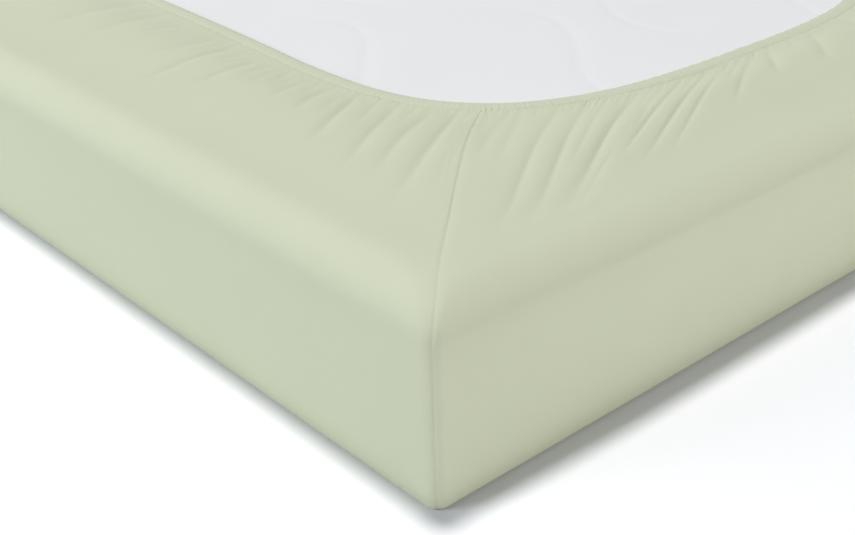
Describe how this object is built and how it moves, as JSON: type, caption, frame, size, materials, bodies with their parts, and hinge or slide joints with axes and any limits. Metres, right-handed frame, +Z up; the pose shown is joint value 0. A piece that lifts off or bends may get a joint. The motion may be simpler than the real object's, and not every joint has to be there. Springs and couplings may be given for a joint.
{
  "type": "fitted sheet on a mattress",
  "caption": "Fitted sheet with elastic all round its mouth, pulled over a mattress that lies face down, so its gathered hem frames the mattress's bare underside.",
  "frame": {"origin": "middle of the footprint, on the surface that the fitted mattress lies on", "axes": "+Y along the long sides, +X along the short sides, +Z up, out of the sheet's mouth"},
  "size_m": [1.408, 2.008, 0.214],
  "materials": {
    "sheet_cloth": "fine plain-dyed woven cotton in pale sage green, matt with a soft sheen",
    "mattress_cover": "white quilted mattress cover, matt"
  },
  "bodies": {
    "root": {"sheet": "sheet_cloth", "mattress": "mattress_cover"}
  },
  "joints": []
}
